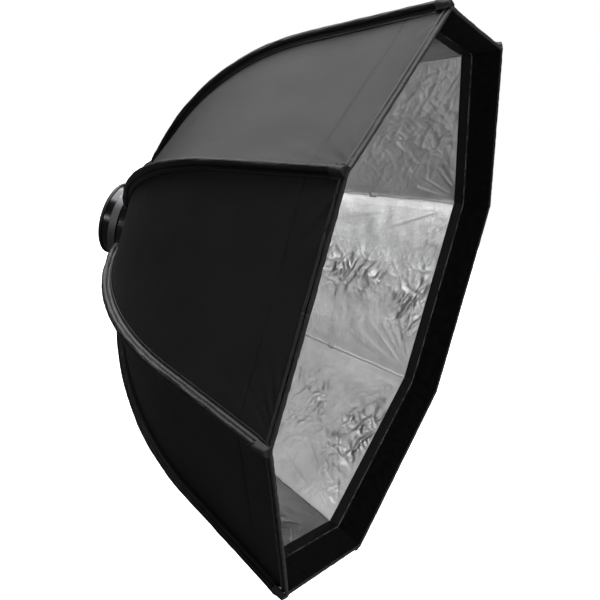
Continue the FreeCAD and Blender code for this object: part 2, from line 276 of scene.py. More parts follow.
def slab(name, outer, inner, n_outer, n_inner, uv_grid):
    """Closed sheet between two grids, with shading normals given for both faces."""
    rows, cols = outer.shape[:2]
    count = rows * cols
    verts = np.concatenate([outer.reshape(-1, 3), inner.reshape(-1, 3)])
    normals = np.concatenate([n_outer.reshape(-1, 3), n_inner.reshape(-1, 3)])
    uv = np.concatenate([uv_grid.reshape(-1, 2)] * 2)
    index = np.arange(count).reshape(rows, cols)
    a = index[:-1, :-1].ravel()
    b = index[:-1, 1:].ravel()
    c = index[1:, 1:].ravel()
    d = index[1:, :-1].ravel()
    top = np.stack([a, d, c, b], axis=1)
    faces = [tuple(f) for f in top]
    faces += [tuple(f) for f in top[:, ::-1] + count]
    sheet_faces = len(faces)
    rims = [index[0, ::-1], index[-1, :], index[:, 0], index[::-1, -1]]
    for rim in rims:
        for p, q in zip(rim[:-1], rim[1:]):
            faces.append((p, p + count, q + count, q))
    loops = np.concatenate([normals[top.ravel()], normals[(top[:, ::-1] + count).ravel()],
                            np.zeros(((len(faces) - sheet_faces) * 4, 3))])
    flat = np.arange(sheet_faces, len(faces))
    return make_mesh(name, verts, faces, loops, uv, flat)


def bend(obj, weights, slack=0.0):
    """Works out a cloth piece's weights, from a rod's seam (weight 0) to its panel's mid line
    (weight 1), after baking its placement into the mesh.

    Slack lowers the weight half-way. The weights are not stored on the mesh, so the piece does not
    bend."""
    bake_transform(obj)
    t = np.clip(weights, 0, 1)
    values = t * t * (3 - 2 * t)
    values = (values - 4 * slack * values * (1 - values)).astype(np.float32)


def halves(k, tau):
    """The two halves of panel k: (rod number, side, columns of the grid, weights)."""
    middle = len(tau) // 2
    return ((k + 1, "a", slice(0, middle + 1), 2 * tau[:middle + 1]),
            ((k + 1) % SIDES + 1, "b", slice(middle, len(tau)), 2 * (1 - tau[middle:])))


def cloth_panel(name, k, s, tau, outer, inner, material, replaces=None, slack=0.0):
    """One cloth layer over panel k, as two halves.

    The cloth coordinates are metres across and along the panel, shifted from panel to panel."""
    n_out = grid_normals(outer)
    n_in = -grid_normals(inner)
    _, width = rod_distance(k, s, tau)
    uv = np.stack([(tau[None, :] - 0.5) * width[:, None], np.repeat(s[:, None], len(tau), 1)],
                  axis=-1)
    uv = uv + np.array([0.73 * k, 0.31 * k])
    for rod, side, columns, weights in halves(k, tau):
        obj = slab("%s_%d%s" % (name, rod, side), outer[:, columns], inner[:, columns],
                   n_out[:, columns], n_in[:, columns], uv[:, columns])
        obj.data.materials.append(material)
        if replaces:
            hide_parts("%s_%d%s" % (replaces, rod, side))
        w = np.repeat(weights[None, :], len(s), 0).ravel()
        bend(obj, np.concatenate([w, w]), slack)


def tube_faces(rings, sides):
    """Faces of a closed tube whose points are listed ring by ring."""
    faces = []
    for i in range(rings - 1):
        for j in range(sides):
            a = i * sides + j
            b = i * sides + (j + 1) % sides
            faces.append((a, b, b + sides, a + sides))
    faces.append(tuple(reversed(range(sides))))
    faces.append(tuple((rings - 1) * sides + j for j in range(sides)))
    return faces


# ---- materials -----------------------------------------------------------------------
def grey(v):
    return (v, v, v * 1.03)


class Shader:
    """Short-hand for building one node material."""

    def __init__(self, name):
        self.mat = bpy.data.materials.new(name)
        self.mat.use_nodes = True
        self.tree = self.mat.node_tree
        self.bsdf = self.tree.nodes["Principled BSDF"]

    def node(self, kind, **settings):
        made = self.tree.nodes.new(kind)
        for key, value in settings.items():
            setattr(made, key, value)
        return made

    def link(self, a, b):
        self.tree.links.new(a, b)

    def set(self, **values):
        for key, value in values.items():
            self.bsdf.inputs[key.replace("_", " ")].default_value = value

    def coords(self, uv):
        if uv:
            return self.node("ShaderNodeUVMap", uv_map="cloth").outputs[0]
        return self.node("ShaderNodeTexCoord").outputs["Object"]

    def noise(self, vector, scale, detail=3.0, rough=0.55):
        n = self.node("ShaderNodeTexNoise")
        self.link(vector, n.inputs["Vector"])
        n.inputs["Scale"].default_value = scale
        n.inputs["Detail"].default_value = detail
        n.inputs["Roughness"].default_value = rough
        return n.outputs[0]

    def ramp(self, value, low, high, stop_low=0.35, stop_high=0.65):
        r = self.node("ShaderNodeMapRange")
        self.link(value, r.inputs["Value"])
        for name, number in (("From Min", stop_low), ("From Max", stop_high),
                             ("To Min", low), ("To Max", high)):
            r.inputs[name].default_value = number
        return r.outputs[0]

    def maths(self, operation, a, b):
        m = self.node("ShaderNodeMath", operation=operation)
        for socket, value in zip(m.inputs, (a, b)):
            if isinstance(value, (int, float)):
                socket.default_value = value
            else:
                self.link(value, socket)
        return m.outputs[0]

    def colour_mix(self, factor, dark, light):
        m = self.node("ShaderNodeMix", data_type="RGBA")
        self.link(factor, m.inputs["Factor"])
        m.inputs["A"].default_value = (*dark, 1)
        m.inputs["B"].default_value = (*light, 1)
        return m.outputs["Result"]

    def bump(self, height, distance, strength=1.0, under=None):
        b = self.node("ShaderNodeBump")
        b.inputs["Distance"].default_value = distance
        b.inputs["Strength"].default_value = strength
        self.link(height, b.inputs["Height"])
        if under is not None:
            self.link(under, b.inputs["Normal"])
        return b.outputs[0]

    def weave(self, vector, period):
        """Plain weave height: two crossed sets of threads."""
        scale = 2 * math.pi / 20 / period
        sets = []
        for direction in ("X", "Y"):
            w = self.node("ShaderNodeTexWave", wave_type="BANDS", bands_direction=direction)
            w.inputs["Scale"].default_value = scale
            self.link(vector, w.inputs["Vector"])
            sets.append(w.outputs["Fac"])
        return self.maths("MAXIMUM", *sets)


def cloth(name, dark, light, rough, period, uv=True, sheen=0.0, coat=0.0, coat_rough=0.3,
          weave_depth=0.00012, puff=0.0008, specular=0.5):
    """Woven coated nylon: weave, faint cloudy colour, soft unevenness."""
    m = Shader(name)
    vector = m.coords(uv)
    cloudy = m.noise(vector, 9.0, 4.0)
    m.link(m.colour_mix(m.ramp(cloudy, 0.0, 1.0), dark, light), m.bsdf.inputs["Base Color"])
    grain = m.noise(vector, 420.0, 2.0)
    m.link(m.ramp(m.maths("ADD", m.maths("MULTIPLY", cloudy, 0.6), m.maths("MULTIPLY", grain, 0.4)),
                  rough - 0.05, rough + 0.06), m.bsdf.inputs["Roughness"])
    soft = m.bump(m.noise(vector, 26.0, 3.0), puff)
    m.link(m.bump(m.weave(vector, period), weave_depth, 0.6, soft), m.bsdf.inputs["Normal"])
    m.set(Sheen_Weight=sheen, Coat_Weight=coat, Coat_Roughness=coat_rough,
          Specular_IOR_Level=specular)
    m.bsdf.inputs["Sheen Roughness"].default_value = 0.5
    return m.mat


def silver_cloth():
    """Metallised lining: satin silver with patches of sharp fine creases."""
    m = Shader("silver_lining")
    vector = m.coords(True)
    cloudy = m.noise(vector, 10.0, 4.0, 0.6)
    m.link(m.colour_mix(m.ramp(cloudy, 0.0, 1.0), (0.50, 0.50, 0.505), (0.62, 0.62, 0.625)),
           m.bsdf.inputs["Base Color"])
    rubbed = m.noise(vector, 60.0, 5.0, 0.65)
    m.link(m.ramp(rubbed, 0.28, 0.38), m.bsdf.inputs["Roughness"])
    m.set(Metallic=0.90)
    turned = m.node("ShaderNodeMapping")
    turned.inputs["Rotation"].default_value = (0, 0, math.radians(28))
    turned.inputs["Scale"].default_value = (1.0, 2.1, 1.0)
    m.link(vector, turned.inputs["Vector"])
    patches = m.ramp(m.noise(vector, 6.5, 2.0), 0.16, 1.0, 0.42, 0.60)
    normal = None
    for scale, distance in ((20.0, 0.0010), (55.0, 0.0005)):
        sharp = m.node("ShaderNodeTexNoise", noise_type="RIDGED_MULTIFRACTAL")
        for socket, number in (("Scale", scale), ("Detail", 3.0), ("Roughness", 0.45),
                               ("Distortion", 0.5)):
            sharp.inputs[socket].default_value = number
        m.link(turned.outputs[0], sharp.inputs["Vector"])
        normal = m.bump(m.maths("MULTIPLY", sharp.outputs[0], patches), distance, 1.0, normal)
    normal = m.bump(m.noise(vector, 300.0, 5.0, 0.8), 0.00050, 1.0, normal)
    m.link(m.bump(m.weave(vector, 0.0007), 0.00005, 0.4, normal), m.bsdf.inputs["Normal"])
    return m.mat


def velvet():
    """Loop tape: dull black pile with a mottled nap."""
    m = Shader("loop_tape")
    vector = m.coords(True)
    nap = m.noise(vector, 70.0, 5.0, 0.7)
    m.link(m.colour_mix(m.ramp(nap, 0.0, 1.0), (0.0015, 0.0015, 0.0015), (0.005, 0.005, 0.005)),
           m.bsdf.inputs["Base Color"])
    m.set(Roughness=0.95, Sheen_Weight=0.03, Specular_IOR_Level=0.08)
    m.bsdf.inputs["Sheen Roughness"].default_value = 0.35
    pile = m.bump(m.noise(vector, 900.0, 3.0, 0.8), 0.0006)
    m.link(m.bump(nap, 0.0008, 0.6, pile), m.bsdf.inputs["Normal"])
    return m.mat


def metal(name, dark, light, rough, metallic=1.0, coat=0.0):
    """Painted or plated metal: faint mottling and tiny pits."""
    m = Shader(name)
    vector = m.coords(False)
    cloudy = m.noise(vector, 35.0, 4.0)
    m.link(m.colour_mix(m.ramp(cloudy, 0.0, 1.0), dark, light), m.bsdf.inputs["Base Color"])
    m.link(m.ramp(m.noise(vector, 160.0, 4.0, 0.65), rough * 0.85, rough * 1.2),
           m.bsdf.inputs["Roughness"])
    m.set(Metallic=metallic, Coat_Weight=coat, Coat_Roughness=0.08)
    m.link(m.bump(m.noise(vector, 1400.0, 2.0), 0.00004), m.bsdf.inputs["Normal"])
    return m.mat


def collar_metal():
    """Polished black band behind, satin shoulder and neck in front of it."""
    m = Shader("collar_anodised")
    vector = m.coords(False)
    parts = m.node("ShaderNodeSeparateXYZ")
    m.link(vector, parts.inputs[0])
    band = m.ramp(parts.outputs["Y"], 0.0, 1.0, BAND_FRONT - 0.0002, BAND_FRONT + 0.0002)
    m.link(m.colour_mix(band, grey(0.24), grey(0.075)), m.bsdf.inputs["Base Color"])
    fine = m.noise(vector, 160.0, 4.0, 0.65)
    satin = m.ramp(fine, 0.46, 0.58)
    polished = m.ramp(fine, 0.17, 0.23)
    mixed = m.node("ShaderNodeMix", data_type="FLOAT")
    m.link(band, mixed.inputs["Factor"])
    m.link(satin, mixed.inputs["A"])
    m.link(polished, mixed.inputs["B"])
    m.link(mixed.outputs["Result"], m.bsdf.inputs["Roughness"])
    m.set(Metallic=0.95)
    m.link(m.bump(m.noise(vector, 1100.0, 2.0), 0.00004), m.bsdf.inputs["Normal"])
    return m.mat


def moulded(name, dark, light, rough, grain, depth):
    """Rubber or plastic with a fine moulded grain."""
    m = Shader(name)
    vector = m.coords(False)
    m.link(m.colour_mix(m.ramp(m.noise(vector, 25.0, 4.0), 0.0, 1.0), dark, light),
           m.bsdf.inputs["Base Color"])
    m.link(m.ramp(m.noise(vector, 90.0, 3.0), rough - 0.06, rough + 0.08),
           m.bsdf.inputs["Roughness"])
    m.link(m.bump(m.noise(vector, grain, 4.0, 0.7), depth), m.bsdf.inputs["Normal"])
    return m.mat


MATERIALS = {
    "shell": cloth("shell_nylon", grey(0.0055), grey(0.0075), 0.50, 0.0006, puff=0.0007,
                   specular=0.34),
    "lining": silver_cloth(),
    "loop": velvet(),
    "facing": cloth("facing_nylon", grey(0.0035), grey(0.005), 0.60, 0.0008, puff=0.0004,
                    specular=0.16),
    "binding": cloth("binding_tape", grey(0.012), grey(0.017), 0.55, 0.0009, sheen=0.10,
                     puff=0.0004, weave_depth=0.0002),
    "sleeve": cloth("sleeve_nylon", grey(0.004), grey(0.006), 0.36, 0.0006, coat=0.10,
                    coat_rough=0.22, puff=0.0005, specular=0.30),
    "pocket": cloth("pocket_nylon", grey(0.018), grey(0.024), 0.45, 0.0011, puff=0.0005,
                    weave_depth=0.0003, specular=0.4),
    "thread": cloth("thread", grey(0.20), grey(0.27), 0.50, 0.0004, uv=False),
    "thread_dark": cloth("thread_dark", grey(0.003), grey(0.004), 0.55, 0.0004, uv=False),
    "tab": cloth("tab_webbing", grey(0.55), grey(0.65), 0.45, 0.0010, puff=0.0004,
                 weave_depth=0.0003, uv=False),
    "ring": metal("ring_gloss_black", grey(0.006), grey(0.010), 0.16, 0.0, coat=1.0),
    "socket": metal("socket_gloss_black", grey(0.008), grey(0.014), 0.18, 0.0, coat=1.0),
    "clamp": metal("clamp_satin_black", grey(0.010), grey(0.016), 0.42, 0.0),
    "band": collar_metal(),
    "steel": metal("bright_steel", grey(0.42), grey(0.55), 0.28, 1.0),
    "rod": metal("rod_steel", grey(0.30), grey(0.42), 0.33, 1.0),
    "lever": metal("lever_satin_black", grey(0.010), grey(0.015), 0.35, 0.0, coat=0.3),
    "rubber": moulded("liner_rubber", grey(0.022), grey(0.030), 0.55, 900.0, 0.00012),
    "bush": moulded("bushing_nylon", grey(0.003), grey(0.005), 0.55, 600.0, 0.00005),
    "knob": moulded("knob_plastic", grey(0.010), grey(0.015), 0.48, 1300.0, 0.00010),
}


# ---- hub: the CAD pieces themselves, with their finishes -----------------------------
def finish_node(node, material):
    for place in frame["nodes"][node].material_slots:
        place.link = "OBJECT"
        place.material = MATERIALS[material]


def hub():
    finishes = {"speed_ring": "ring", "clamp_ring": "clamp", "adapter_collar": "band",
                "grip_liner": "rubber", "ring_bushing": "bush", "collar_snap_ring": "steel",
                "ring_screws": "steel", "hinge_pins": "steel", "lever_pin": "steel",
                "knob_stud": "steel", "clamp_lever": "lever", "lock_knob": "knob"}
    for node, material in finishes.items():
        finish_node(node, material)
    for number in range(1, SIDES + 1):
        finish_node("rod_socket_%d" % number, "socket")
        finish_node("rod_%d" % number, "rod")


# ---- outer shell ---------------------------------------------------------------------
def seam_groove(s):
    """The seam line's groove, parallel to the mouth."""
    depth = width = 0.0012
    return -depth * np.exp(-((s - (LENGTH - SEAM_DEPTH)) / width) ** 2)


def outer_rise(k, s, tau):
    """Height of the shell cloth over the flat panel."""
    distance, width = rod_distance(k, s, tau)
    q = (tau[None, :] - 0.5) * width[:, None]
    ss = np.repeat(s[:, None], len(tau), 1)
    from_edge = LENGTH - ss
    taut = sag(s, tau) + corner_round(distance)
    rise = taut + seam_groove(s)[:, None]
    window = smooth(distance, 0.0, 0.03)
    # long soft waves of cloth that isn't quite taut
    rise += window * 0.0010 * noise(ss / 0.16 + 3.1 * k, q / 0.11 + 9, k)
    # pulls that run from the tip pockets into the panel
    for corner in (-1, 1):
        dq = width[:, None] / 2 - corner * q
        angle = np.arctan2(dq, from_edge + 0.02)
        reach = np.hypot(dq, from_edge)
        pull = noise(angle * 9 + 5 * k, angle * 0 + 17 + corner, k + 3)
        rise += window * 0.0016 * pull * np.exp(-(reach / 0.10) ** 2)
    # puckers along the hem
    pucker = noise(q / 0.0085 + 40 * k, ss / 0.05, k + 5)
    rise += window * 0.0007 * pucker * np.exp(-((from_edge - 0.012) / 0.010) ** 2)
    return np.maximum(rise, taut - DIP)


def shell_panels():
    end = LENGTH - 0.002
    s = s_steps(0.0, end, 0.009, (LENGTH - SEAM_DEPTH, LENGTH - 0.012))
    near_hem = np.arange(LENGTH - 0.030, end, 0.003)
    s = np.unique(np.round(np.concatenate([s, near_hem]), 5))
    s = s[np.concatenate([[True], np.diff(s) > 0.0004])]
    tau = tau_steps(34)
    for k in range(SIDES):
        rise = outer_rise(k, s, tau)
        outer = panel_grid(k, s, tau, SHELL_OUT, rise)
        inner = panel_grid(k, s, tau, SHELL_IN, rise)
        cloth_panel("shell", k, s, tau, outer, inner, MATERIALS["shell"],
                    replaces="shell_half")


# ---- silver lining -------------------------------------------------------------------
# Crumpled places on each panel: (s, across from -1 to 1, reach along s, reach across, strength)
PATCHES = {
    1: ((0.44, 0.05, 0.110, 0.65, 0.50), (0.54, -0.20, 0.050, 0.60, 0.65)),
    2: ((0.41, 0.02, 0.085, 0.28, 0.95), (0.550, 0.20, 0.034, 0.42, 1.15)),
    3: ((0.43, -0.12, 0.070, 0.46, 0.75), (0.545, 0.0, 0.044, 0.60, 1.3)),
}


def patches_of(k):
    if k in PATCHES:
        return PATCHES[k]
    places = rng.random((2, 5))
    return [(0.36 + 0.10 * i + 0.06 * a, 0.5 * (b - 0.5), 0.05 + 0.05 * c, 0.35 + 0.2 * d,
             0.8 + 0.5 * e) for i, (a, b, c, d, e) in enumerate(places)]


def crease_field(k, ss, q, half_width):
    """Crumples of the lining: folds in patches, fine creases, faint pulls from the corners."""
    across = q / np.maximum(half_width, 0.02)
    off = 31.7 * k
    mask = np.zeros_like(ss)
    for place, side, reach_s, reach_q, strength in patches_of(k):
        far = ((ss - place) / reach_s) ** 2 + ((across - side) / reach_q) ** 2
        mask = np.maximum(mask, strength * np.exp(-far ** 1.2))
    mask = mask * (0.75 + 0.5 * noise(ss / 0.03 + off, q / 0.03 + 3, k + 9))
    warp_s = ss + 0.0035 * noise(ss / 0.020 + off, q / 0.026, k)
    warp_q = q + 0.0060 * noise(ss / 0.024 + off + 50, q / 0.028 + 20, k + 1)
    slant = warp_s + 0.35 * warp_q
    big = tent(noise(slant / 0.0150 + off, warp_q / 0.040 + off, k + 3), 1.9)
    mid = tent(noise((warp_s - 0.5 * warp_q) / 0.0105 + off, warp_q / 0.021 + 7, k + 4), 2.2)
    small = noise((warp_s + 0.9 * warp_q) / 0.008 + off, warp_q / 0.012 + 17, k + 7)
    height = mask * (0.0031 * big + 0.0017 * mid + 0.0006 * small)
    # long, soft swells and a few faint straight creases between the patches
    height += 0.0012 * noise(ss / 0.11 + off, q / 0.06 + 70, k + 8)
    height += 0.00035 * noise(ss / 0.016 + off, q / 0.030 + 90, k + 5)
    from_mouth = LENGTH - BAND_DEPTH - ss
    for corner in (-1, 1):
        dq = half_width - corner * q
        angle = np.arctan2(dq, from_mouth + 0.02)
        reach = np.hypot(dq, from_mouth)
        pull = noise(angle * 13 + off + 11 * corner, reach / 0.13 + off, k + 5)
        pull = np.maximum(pull, 0) ** 1.5
        height += 0.0011 * pull * smooth(reach, 0.015, 0.05) * np.exp(-(reach / 0.15) ** 2)
    # gathers of the cloth where it is sewn to the facing
    height += 0.0007 * noise(ss / 0.03 + off, q / 0.009 + 70, k + 2) \
        * np.exp(-np.maximum(from_mouth, 0) / 0.014)
    return height


def lining_panels():
    s = s_steps(0.0, LENGTH - 0.060, 0.0026)
    tau = tau_steps(70)
    for k in range(SIDES):
        distance, width = rod_distance(k, s, tau)
        ss = np.repeat(s[:, None], len(tau), 1)
        q = (tau[None, :] - 0.5) * width[:, None]
        to_band = LENGTH - BAND_DEPTH - ss
        window = smooth(distance, 0.0, 0.035) * smooth(to_band, -0.003, 0.010)
        deeper = 1 + 0.25 * smooth(to_band, 0.0, 0.09)
        flat_rise = deeper * sag(s, tau) - 0.0006 * smooth(distance, 0.0, 0.02)
        flat_rise += corner_round(distance)
        rise = flat_rise - window * crease_field(k, ss, q, width[:, None] / 2)
        outer = panel_grid(k, s, tau, LINING_OUT, rise)
        inner = panel_grid(k, s, tau, LINING_IN, rise)
        cloth_panel("lining", k, s, tau, outer, inner, MATERIALS["lining"],
                    slack=LINING_SLACK)


def lining_seams():
    """The lining's sewn joins: a narrow folded lip that stands off the cloth at each rod."""
    cross = np.array([-1.0, -0.5, 0.0, 0.5, 1.0])
    for k in range(SIDES):
        s = np.arange(0.020, LENGTH - BAND_DEPTH + 0.004, 0.0035)
        centre, tangential, outward = rod_frames(k, s)
        wave = 0.0006 * noise(s / 0.012 + 7 * k, s * 0 + 2, k)
        lean = 0.0016 + 0.0008 * noise(s / 0.03 + 7 * k, s * 0 + 9, k + 2)
        rows = []
        for i in range(len(s)):
            deep = LINING_IN - 0.0002 + 0.0016 * (cross + 1)
            aside = wave[i] + lean[i] * (cross + 1) / 2
            rows.append(centre[i] + tangential[i] * aside[:, None] - outward[i] * deep[:, None])
        face = np.array(rows)
        normals = grid_normals(face)
        back = face - normals * 0.0007
        uv = np.stack(np.meshgrid(cross * 0.002, s), axis=-1)
        obj = slab("lining_seam_%d" % (k + 1), face, back, normals, -normals, uv)
        obj.data.materials.append(MATERIALS["lining"])
        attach(obj, "rod_%d" % (k + 1))


# ---- dark facing, loop tape and hem at the mouth -------------------------------------
def mouth_bands():
    tau = tau_steps(24)
    layers = (
        ("facing", LENGTH - BAND_DEPTH, LENGTH - 0.002, LINING_IN + 0.0002, 0.0006, "facing",
         FACING_SLACK),
        ("loop_tape", LENGTH - LOOP_DEPTH, LENGTH - 0.003, LINING_IN + 0.0010, 0.0014, "loop",
         LOOP_SLACK),
    )
    for name, start, end, inward, thick, material, slack in layers:
        s = s_steps(start, end, 0.005)
        for k in range(SIDES):
            distance, width = rod_distance(k, s, tau)
            ss = np.repeat(s[:, None], len(tau), 1)
            q = (tau[None, :] - 0.5) * width[:, None]
            rise = sag(s, tau) - 0.0012 * smooth(distance, 0.0, 0.02) + corner_round(distance)
            rise += 0.0005 * smooth(distance, 0, 0.03) * noise(ss / 0.03, q / 0.02 + 9 * k, k)
            taper = 0.4 + 0.6 * smooth(np.minimum(ss - start, end - ss), 0, 0.0035)
            outer = panel_grid(k, s, tau, inward, rise)
            inner = panel_grid(k, s, tau, inward, rise - thick * taper)
            cloth_panel(name, k, s, tau, outer, inner, MATERIALS[material], slack=slack)


def edge_frame(k, s_at, tau, inward, rise):
    """Points along a line parallel to the mouth, with the cloth's slope and normal there."""
    s = np.array([s_at - 0.001, s_at, s_at + 0.001])
    grid = panel_grid(k, s, tau, inward, np.repeat(rise[None, :], 3, 0))
    along = grid[2] - grid[0]
    along /= np.linalg.norm(along, axis=1, keepdims=True)
    across = np.gradient(grid[1], axis=0)
    across /= np.linalg.norm(across, axis=1, keepdims=True)
    normal = np.cross(across, along)
    normal /= np.linalg.norm(normal, axis=1, keepdims=True)
    return grid[1], along, normal


def edge_roll(name, s_at, inward, radius_s, radius_n, ripple, material, lift=0.0, slack=0.0):
    """A soft roll of cloth that follows the mouth.

    Its section is an ellipse, radius_s along the rods and radius_n across the cloth."""
    sides = 10
    tau = np.concatenate([[0, 0.01, 0.025], np.linspace(0.04, 0.5, 60)])
    tau = np.concatenate([tau, 1 - tau[-2::-1]])
    for k in range(SIDES):
        s_one = np.array([s_at])
        distance, width = rod_distance(k, s_one, tau)
        q = (tau - 0.5) * width[0]
        rise = sag(s_one, tau)[0] + corner_round(distance)[0] + lift
        centre, along, normal = edge_frame(k, s_at, tau, inward, rise)
        window = smooth(distance[0], 0.0, 0.012)
        swell = 1 + ripple * window * noise(q / 0.007 + 19 * k, q * 0 + k, k + 2)
        centre = centre + normal * (0.0004 * window * noise(q / 0.010, q * 0 + 5, k))[:, None]
        turn = np.linspace(0, 2 * math.pi, sides, endpoint=False)
        ring_s = radius_s * np.cos(turn)
        ring_n = radius_n * np.sin(turn)
        points = (centre[:, None, :]
                  + along[:, None, :] * (ring_s[None, :] * swell[:, None])[:, :, None]
                  + normal[:, None, :] * (ring_n[None, :] * swell[:, None])[:, :, None])
        for rod, side, columns, weights in halves(k, tau):
            part = points[columns]
            count = len(part)
            faces = tube_faces(count, sides)
            uv = np.stack([np.repeat(q[columns], sides), np.tile(turn * radius_s, count)], axis=1)
            obj = make_mesh("%s_%d%s" % (name, rod, side), part.reshape(-1, 3), faces, uv=uv)
            obj.data.materials.append(MATERIALS[material])
            bend(obj, np.repeat(weights, sides), slack)


# ---- stitches ------------------------------------------------------------------------
def stitch_mesh(starts, ends, normals, thick):
    """Closed slim spindles lying on the cloth, one per stitch."""
    verts = []
    faces = []
    for p, q, n in zip(starts, ends, normals):
        run = q - p
        side = np.cross(run, n)
        side /= max(np.linalg.norm(side), 1e-9)
        base = len(verts)
        verts.append(p - n * thick * 0.4)
        for share in (0.25, 0.75):
            spot = p + run * share
            for u, v in ((1, 0), (0, 1), (-1, 0), (0, -1)):
                verts.append(spot + side * u * thick + n * v * thick * 0.8)
        verts.append(q - n * thick * 0.4)
        for j in range(4):
            a = base + 1 + j
            b = base + 1 + (j + 1) % 4
            faces.append((base, b, a))
            faces.append((a, b, b + 4, a + 4))
            faces.append((base + 9, a + 4, b + 4))
    return verts, faces


def stitch_rows():
    """Stitch lines parallel to the mouth: two outside, and the loop tape's own inside."""
    pitch = 0.0036
    rows = (("seam_stitch", LENGTH - SEAM_DEPTH - 0.0028, SHELL_OUT, True, "thread_dark", 0.00028),
            ("hem_stitch", LENGTH - HEM_STITCH, SHELL_OUT, True, "thread_dark", 0.00022),
            ("tape_stitch", LENGTH - LOOP_DEPTH + 0.0015, LINING_IN + 0.0024, False, "thread",
             0.00026))
    for name, s_at, inward, outside, material, thick in rows:
        for k in range(SIDES):
            width = float(np.linalg.norm(rod_edge(k + 1, s_at) - rod_edge(k, s_at)))
            count = int(width / pitch) // 2 * 2
            marks = np.linspace(0.012, 0.988, count * 2 + 1)
            s_one = np.array([s_at])
            if outside:
                rise = outer_rise(k, s_one, marks)[0]
            else:
                distance, _ = rod_distance(k, s_one, marks)
                rise = sag(s_one, marks)[0] + corner_round(distance)[0] - 0.0010
            centre, _, normal = edge_frame(k, s_at, marks, inward, rise)
            normal = normal * (1 if outside else -1)
            for rod, side, part in ((k + 1, "a", slice(0, count)),
                                    ((k + 1) % SIDES + 1, "b", slice(count, 2 * count))):
                p = centre[part][0::2]
                q = centre[1:][part][0::2]
                t = marks[part][0::2]
                verts, faces = stitch_mesh(p, q, normal[part][0::2], thick)
                obj = make_mesh("%s_%d%s" % (name, rod, side), verts, faces)
                obj.data.materials.append(MATERIALS[material])
                bend(obj, np.repeat(2 * np.minimum(t, 1 - t), 10),
                     0.0 if outside else LOOP_SLACK)


# ---- rod sleeves ---------------------------------------------------------------------
def sleeve_profile(radius, drop, lip):
    """Closed section of a sleeve: a tube that pinches in to two flat sewn lips below."""
    turn = np.radians(np.linspace(-118, 118, 25))
    x = list(radius * np.sin(turn))
    z = list(radius * np.cos(turn))
    base = SHELL_OUT + 0.0002
    right = []
    for share, above in ((0.90, None), (1.02, 0.0016), (1.25, 0.0009)):
        px = radius * share
        level = -base - px * drop
        pz = level + above if above else -0.80 * radius
        right.append((px, max(pz, level + 0.0009)))
    right.append((lip, -base - lip * drop + 0.0008))
    right.append((lip + 0.0003, -base - lip * drop + 0.0002))
    right.append((lip, -base - lip * drop - 0.0003))
    right.append((lip * 0.5, -base - lip * 0.5 * drop - 0.0003))
    x += [px for px, _ in right] + [0.0] + [-px for px, _ in reversed(right)]
    z += [pz for _, pz in right] + [-base - 0.0003] + [pz for _, pz in reversed(right)]
    return np.array(x), np.array(z)


def sleeves():
    """Glossy tubes over the rods, sewn to the shell by a flat lip on each side.

    The housing on socket 1 stands in the way of its sleeve, which starts further out."""
    tube = 25                     # points of the section that lie on the round part
    for k in range(SIDES):
        start = 0.040 if k == 0 else 0.011
        s = np.concatenate([start + np.array([0, 0.0008, 0.0024, 0.005]),
                            np.arange(start + 0.008, LENGTH - POCKET_L - 0.004, 0.0045),
                            [LENGTH - POCKET_L + 0.003]])
        centre, tangential, outward = rod_frames(k, s)
        _, _, slope = rod_line(s)
        verts = []
        for i, place in enumerate(s):
            boot = 1 - smooth(place, *BOOT_ENDS)
            mouth = 1 - 0.10 * (1 - smooth(place, start, start + 0.004))
            radius = (SLEEVE_R + BOOT_R * boot) * mouth
            lip = SLEEVE_LIP + BOOT_LIP * boot
            x, z = sleeve_profile(radius, math.tan(HALF) * math.sin(slope[i]), lip)
            angle = np.arange(len(x)) * 0.55
            crush = 0.00045 * noise(np.full(len(x), place / 0.020 + 13 * k), angle * 0.45, k)
            crush += 0.00028 * noise(np.full(len(x), place / 0.007 + 29 * k), angle, k + 1)
            push = 1 + crush / radius
            x[:tube] *= push[:tube]
            z[:tube] *= push[:tube]
            lift = 0.00035 * noise(np.full(len(x), place / 0.009 + 5 * k), np.sign(x) * 3.0, k + 4)
            lips = (np.abs(x) > radius * 1.2) & (np.arange(len(x)) >= tube)
            z = z + np.where(lips, np.abs(lift), 0)
            verts.append(centre[i] + tangential[i] * x[:, None] + outward[i] * z[:, None])
        sides = len(verts[0])
        verts = np.concatenate(verts)
        uv = np.stack([np.tile(np.arange(sides) * 0.0014, len(s)), np.repeat(s, sides)], axis=1)
        obj = make_mesh("sleeve_%d" % (k + 1), verts, tube_faces(len(s), sides), uv=uv)
        obj.data.materials.append(MATERIALS["sleeve"])
        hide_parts("rod_sleeve_%d" % (k + 1))
        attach(obj, "rod_%d" % (k + 1))


def sleeve_stitches():
    """Two stitch lines along each sleeve's margins."""
    for k in range(SIDES):
        places = np.arange(0.070, LENGTH - POCKET_L - 0.006, 0.0040)
        _, _, slope = rod_line(places)
        drop = SHELL_OUT - 0.0006 + SLEEVE_STITCH * math.tan(HALF) * np.sin(slope)
        verts = []
        faces = []
        for side in (-1, 1):
            centre, tangential, outward = rod_frames(k, places)
            ends, _, _ = rod_frames(k, places + 0.0028)
            offset = tangential * side * SLEEVE_STITCH - outward * drop[:, None]
            v, f = stitch_mesh(centre + offset, ends + offset, outward, 0.00024)
            start = len(verts)
            verts += v
            faces += [tuple(i + start for i in face) for face in f]
        obj = make_mesh("sleeve_stitch_%d" % (k + 1), verts, faces)
        obj.data.materials.append(MATERIALS["thread_dark"])
        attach(obj, "rod_%d" % (k + 1))


